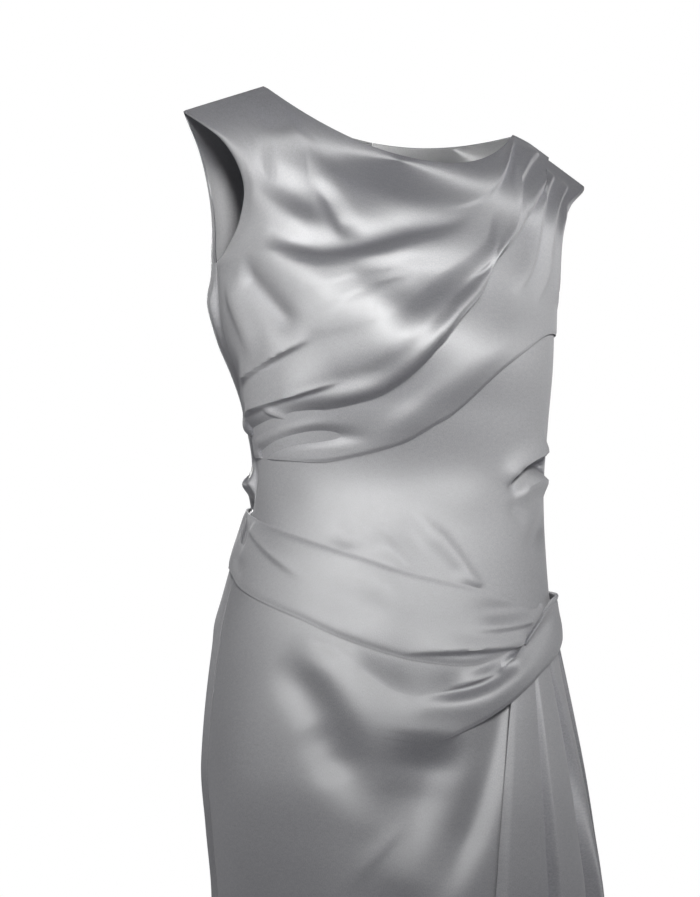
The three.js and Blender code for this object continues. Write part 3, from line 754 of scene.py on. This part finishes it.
def loop_sheet():
    """The strip under the sash, the upper cloth, its fold, and the lower cloth to the hem."""
    around = spread(-SIDE, SIDE, 2.3)
    top, rolled, fold = loop_lines(around)
    foot = read(SASH_FOOT, "height", around)
    share = loop_share(around)
    over = smooth((around - ROLL_FROM) / ROLL_BLEND)
    roll_lift = upper_lift(around, rolled, fold)
    rows = []
    for j in range(STRIP_ROWS):
        t = j / STRIP_ROWS
        height = mix(top, rolled, t)
        rise = smooth((foot - 1 - height) / np.maximum(foot - 1 - rolled, 2.0))
        turned = roll_lift - 1.6 * (1 - t) ** 2
        rows.append((height, mix(roll_lift * rise, turned, over)))
    for j in range(UPPER_ROWS):
        height = mix(rolled, fold, crowd(UPPER_ROWS)[j])
        edge = edge_roll(rolled - height, 1.0, 4.0) + 1.0
        rows.append((height, upper_lift(around, height, fold) + (edge - 1.0) * over))
    under = smooth((share - 0.3) / 0.5)
    upper_edge = upper_lift(around, fold, fold)
    lower_edge = single_lift(around, fold)
    for j in range(FOLD_ROWS + 1):
        turn = math.pi * j / FOLD_ROWS
        inward = (1 - math.cos(turn)) / 2
        spread_out = -2.0 * j / FOLD_ROWS * (1 - under)
        height = fold + (UNDERLAP * inward - 0.8 * math.sin(turn)) * under + spread_out
        folded = mix(upper_edge, lower_edge, inward)
        rows.append((height, mix(single_lift(around, height), folded, np.minimum(8 * share, 1))))
    start = rows[-1][0]
    for j in range(1, LOWER_ROWS + 1):
        height = mix(start, HEM, j / LOWER_ROWS)
        rows.append((height, single_lift(around, height)))
    heights = np.stack([height for height, _ in reversed(rows)], 1)
    lifts = np.stack([lift for _, lift in reversed(rows)], 1)
    grid = np.repeat(around[:, None], heights.shape[1], axis=1)
    return sheet_on("skirt_front_cloth", grid, heights, lifts, -SIDE, SIDE)


skirt_front = loop_sheet()
dressed(skirt_front, ["skirt_front", "skirt_loop"])

# %% [markdown]
# ## Cascade
# Four pleats fall from under the loop. Each pleat is a ridge that rolls over to a valley
# behind it, so the columns of the sheet follow the folds down and spread towards the hem.

# %% Skirt cascade
CASCADE_PLEATS = [
    # round at the loop, round at the hem, ridge and valley at the hem
    (59, -6, 13, 2),
    (90, 76, 25, 6),
    (113, 178, 33, 9),
    (150, 197, 31, 6),
]
CASCADE_LEFT = 207.0
CASCADE_GROWTH = 0.85
PLACE_GROWTH = 0.8
VALLEY_AT = 0.91
EDGE_ROLL = 7.0       # the first folded edge lies on the skirt and rolls up over this width


def cascade_knots(down):
    opened = down ** CASCADE_GROWTH
    across = down ** PLACE_GROWTH
    places = [mix(top, hem, across) for top, hem, _, _ in CASCADE_PLEATS] + [CASCADE_LEFT]
    knots = [(places[0], 0.3)]
    for i, (_, _, ridge, valley) in enumerate(CASCADE_PLEATS):
        knots.append((places[i] + (EDGE_ROLL if i == 0 else 0), ridge * opened + 1.0))
        knots.append((mix(places[i], places[i + 1], VALLEY_AT), valley * opened))
    return knots + [(CASCADE_LEFT, 0.0)]


def cascade_sheet():
    rows, per_fold = 190, 22
    folds = 2 * len(CASCADE_PLEATS) + 1
    grid = np.zeros((folds * per_fold + 1, rows + 1))
    height, lift = np.zeros_like(grid), np.zeros_like(grid)
    for j in range(rows + 1):
        share = j / rows
        knots = cascade_knots(1 - share)
        for i in range(folds * per_fold + 1):
            k = min(i // per_fold, folds - 1)
            t = i / per_fold - k
            (a, lift_a), (b, lift_b) = knots[k], knots[k + 1]
            # each pleat rolls away from its edge into the crease beside the next
            falls = lift_b < lift_a
            s = 1 - math.cos(math.pi / 2 * t) if falls else math.sin(math.pi / 2 * t)
            grid[i, j] = mix(a, b, t)
            lift[i, j] = mix(lift_a, lift_b, s)
        height[:, j] = mix(HEM, read(LOOP_FOOT, "height", grid[:, j]) + UNDERLAP, share)
    return sheet_on("skirt_cascade_cloth", grid, height, LAYER + lift, -ROUND, ROUND)


skirt_cascade = cascade_sheet()
dressed(skirt_cascade, ["skirt_cascade"])

# %% [markdown]
# ## Skirt back
# Two panels, plain and close, with the strain lines that a fitted skirt shows over the seat.

# %% Skirt back
SKIRT_BACK_FOLDS = [
    (230, -430, 280, -450, 350, -446, 1.6, 14, 14, 0.3, 0.5),
    (260, -640, 300, -656, 370, -650, 1.8, 16, 18, 0.4, 0.5),
    (300, -700, 330, -780, 340, -900, 2.2, 20, 20, 0.5, 0.2),
    (380, -690, 376, -780, 372, -900, -1.8, 16, 16, 0.5, 0.2),
]


def skirt_back_lift(around, height):
    folds = SKIRT_BACK_FOLDS if np.mean(around) > 0 else mirrored(SKIRT_BACK_FOLDS)
    reach = np.abs(around)
    free = smooth((reach - ROUND) / 16) * smooth((2 * ROUND - reach) / 16)
    return fold_lift(folds, around, height) * free + seam_dip(reach, ROUND, 2 * ROUND)


for hand, low, high in (("left", ROUND + SEAM / 2, CENTRE_BACK),
                        ("right", -CENTRE_BACK, -ROUND - SEAM / 2)):
    back = sheet("skirt_back_" + hand + "_cloth", low, high, flat_line(HEM),
                 line(WAIST_SEAM, -SEAM / 2), skirt_back_lift, step=3.2)
    dressed(back, ["skirt_back_" + hand])

# %% [markdown]
# ## Sash
# The sash lies over the waist seam. It is creased where it is drawn round the right side, and
# its folds run together where it passes under the loop at the left hip.

# %% Sash
SASH_FOLDS = [
    (-196, -362, -150, -382, -92, -408, 3.0, 12, 2.4, 0.15, 0.5),
    (-240, -352, -214, -366, -196, -384, -4.0, 9, 9, 0.3, 0.4),
    (-226, -380, -200, -394, -176, -404, -2.0, 8, 8, 0.3, 0.4),
    # folds that run together under the loop
    (-20, -460, 30, -456, 80, -452, 3.6, 12, 1.4, 0.4, 0.02),
    (16, -440, 50, -438, 92, -432, 2.2, 10, 2.0, 0.5, 0.05),
    (16, -426, 62, -423, 116, -415, -2.4, 10, 8, 0.4, 0.1),
    (-60, -392, -30, -412, -10, -436, 1.4, 12, 12, 0.4, 0.5),
    (-110, -404, -60, -420, -20, -430, -1.2, 14, 14, 0.4, 0.4),
]


def sash_lift(around, height):
    above_foot = height - read(SASH_FOOT, "height", around)
    below_top = read(SASH_TOP, "height", around) - height
    rolled = edge_roll(above_foot, 0.9, 4.0) + edge_roll(below_top, 0.9, 4.0)
    return LAYER + fold_lift(SASH_FOLDS, around, height) + rolled


sash_front = sheet("sash_front_cloth", -CENTRE_BACK, SIDE, line(SASH_FOOT), line(SASH_TOP),
                   sash_lift, step=2.2, rows=34)
dressed(sash_front, ["sash_front"])
sash_back = sheet("sash_back_left_cloth", ROUND + SEAM / 2, CENTRE_BACK, line(SASH_FOOT),
                  line(SASH_TOP), sash_lift, step=2.6, rows=28)
dressed(sash_back, ["sash_back_left"])


# %% [markdown]
# ## Zip
# The zip's slider and pull tab come from the frame. They keep their shape and get a grey
# lacquered metal.

# %% Zip metal
def zip_finish():
    material = bpy.data.materials.new("zip metal")
    material.use_nodes = True
    nodes, links = material.node_tree.nodes, material.node_tree.links
    shader = nodes["Principled BSDF"]
    shader.inputs["Metallic"].default_value = 0.9
    place = nodes.new("ShaderNodeTexCoord")
    rub = nodes.new("ShaderNodeTexNoise")
    rub.inputs["Scale"].default_value = 420.0
    tone = nodes.new("ShaderNodeValToRGB")
    tone.color_ramp.elements[0].color = (0.32, 0.32, 0.34, 1)
    tone.color_ramp.elements[1].color = (0.48, 0.48, 0.50, 1)
    gloss = nodes.new("ShaderNodeMapRange")
    gloss.inputs["To Min"].default_value = 0.28
    gloss.inputs["To Max"].default_value = 0.42
    links.new(place.outputs["Object"], rub.inputs["Vector"])
    links.new(rub.outputs["Fac"], tone.inputs["Fac"])
    links.new(rub.outputs["Fac"], gloss.inputs["Value"])
    links.new(tone.outputs["Color"], shader.inputs["Base Color"])
    links.new(gloss.outputs["Result"], shader.inputs["Roughness"])
    return material


ZIP = zip_finish()
for node in ("zip_slider", "zip_pull_tab"):
    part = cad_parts[node]
    part.data.materials.clear()
    part.data.materials.append(ZIP)

# %% [markdown]
# ## Light, floor and camera
# One large soft key stands by the camera, as for a catalogue picture, so cloth that turns away
# falls off to grey. The world is white to the camera and dim to the cloth.

# %% World and floor
CAMERA_DISTANCE = 1.6
CAMERA_TURN = math.radians(-20)
CAMERA_HEIGHT = -0.40
CAMERA_PITCH = math.radians(4.0)
CAMERA_ROLL = math.radians(2.0)
CAMERA_YAW = math.radians(-1.0)
CAMERA_LENS = 94.8
FLOOR_HEIGHT = HEM * MM - 0.46


def white_world():
    world = bpy.data.worlds.new("studio")
    bpy.context.scene.world = world
    world.use_nodes = True
    nodes, links = world.node_tree.nodes, world.node_tree.links
    background = nodes["Background"]
    background.inputs["Color"].default_value = (1, 1, 1, 1)
    path = nodes.new("ShaderNodeLightPath")
    seen = nodes.new("ShaderNodeMath")
    seen.operation = "MAXIMUM"
    shown = nodes.new("ShaderNodeMath")
    shown.operation = "MAXIMUM"
    strength = nodes.new("ShaderNodeMapRange")
    strength.inputs["To Min"].default_value = 0.18
    strength.inputs["To Max"].default_value = 1.0
    links.new(path.outputs["Is Camera Ray"], seen.inputs[0])
    links.new(path.outputs["Is Glossy Ray"], seen.inputs[1])
    links.new(seen.outputs["Value"], shown.inputs[0])
    links.new(path.outputs["Is Transmission Ray"], shown.inputs[1])
    links.new(shown.outputs["Value"], strength.inputs["Value"])
    links.new(strength.outputs["Result"], background.inputs["Strength"])


def pale_floor():
    bpy.ops.object.select_all(action="DESELECT")
    bpy.ops.mesh.primitive_circle_add(vertices=96, radius=1.7, fill_type="NGON",
                                      location=(0, 0, FLOOR_HEIGHT))
    floor = bpy.context.object
    floor.name = "floor"
    material = bpy.data.materials.new("floor")
    material.use_nodes = True
    shader = material.node_tree.nodes["Principled BSDF"]
    shader.inputs["Base Color"].default_value = (0.9, 0.9, 0.9, 1)
    shader.inputs["Roughness"].default_value = 0.9
    floor.data.materials.append(material)


white_world()
pale_floor()


# %% Camera
def camera_frame():
    """The camera's place and its right, up and forward directions."""
    back = np.array([math.sin(CAMERA_TURN), -math.cos(CAMERA_TURN), 0.0])
    place = back * CAMERA_DISTANCE + np.array([0, 0, CAMERA_HEIGHT])
    right = np.array([math.cos(CAMERA_TURN), math.sin(CAMERA_TURN), 0.0])
    ahead = -back * math.cos(CAMERA_YAW) + right * math.sin(CAMERA_YAW)
    right = np.cross(ahead, (0, 0, 1))
    forward = ahead * math.cos(CAMERA_PITCH) + np.array([0, 0, math.sin(CAMERA_PITCH)])
    up = np.cross(right, forward)
    rolled_right = right * math.cos(CAMERA_ROLL) + up * math.sin(CAMERA_ROLL)
    rolled_up = -right * math.sin(CAMERA_ROLL) + up * math.cos(CAMERA_ROLL)
    return place, rolled_right, rolled_up, forward


from mathutils import Matrix, Vector

place, right, up, forward = camera_frame()
lens = bpy.data.cameras.new("camera")
lens.sensor_fit = "HORIZONTAL"
lens.sensor_width = 36
lens.lens = CAMERA_LENS
lens.clip_start = 0.05
camera = bpy.data.objects.new("camera", lens)
turn = Matrix((right, up, -forward)).transposed().to_4x4()
camera.matrix_world = Matrix.Translation(Vector(place)) @ turn
bpy.context.scene.collection.objects.link(camera)
bpy.context.scene.camera = camera


# %% Lamps
def soft_lamp(name, place, aim, size, power, gloss_only=False, spread_to=180):
    data = bpy.data.lights.new(name, "AREA")
    data.shape = "DISK"
    data.size = size
    data.energy = power
    data.spread = math.radians(spread_to)
    lamp = bpy.data.objects.new(name, data)
    lamp.location = place
    lamp.visible_diffuse = not gloss_only
    direction = Vector(aim) - Vector(place)
    lamp.rotation_euler = direction.to_track_quat("-Z", "Y").to_euler()
    bpy.context.scene.collection.objects.link(lamp)
    return lamp


soft_lamp("key", (-0.42, -1.70, 0.05), (0, 0, 0.02), 0.3, 1.0, spread_to=64)
soft_lamp("lustre", (-0.44, -1.70, 0.03), (0, 0, 0.03), 0.3, 112, gloss_only=True, spread_to=64)
soft_lamp("fill", (1.5, -1.1, 0.1), (0, 0, -0.4), 1.0, 0.5)
soft_lamp("rear", (0.3, 2.2, 0.3), (0, 0, -0.4), 0.8, 34)
soft_lamp("rear lustre", (0.2, 2.2, 0.3), (0, 0, -0.4), 0.8, 130, gloss_only=True)

# %% Colour and finish
bpy.context.scene.view_settings.view_transform = "Standard"
print("pieces:", made, "total", sum(made.values()))
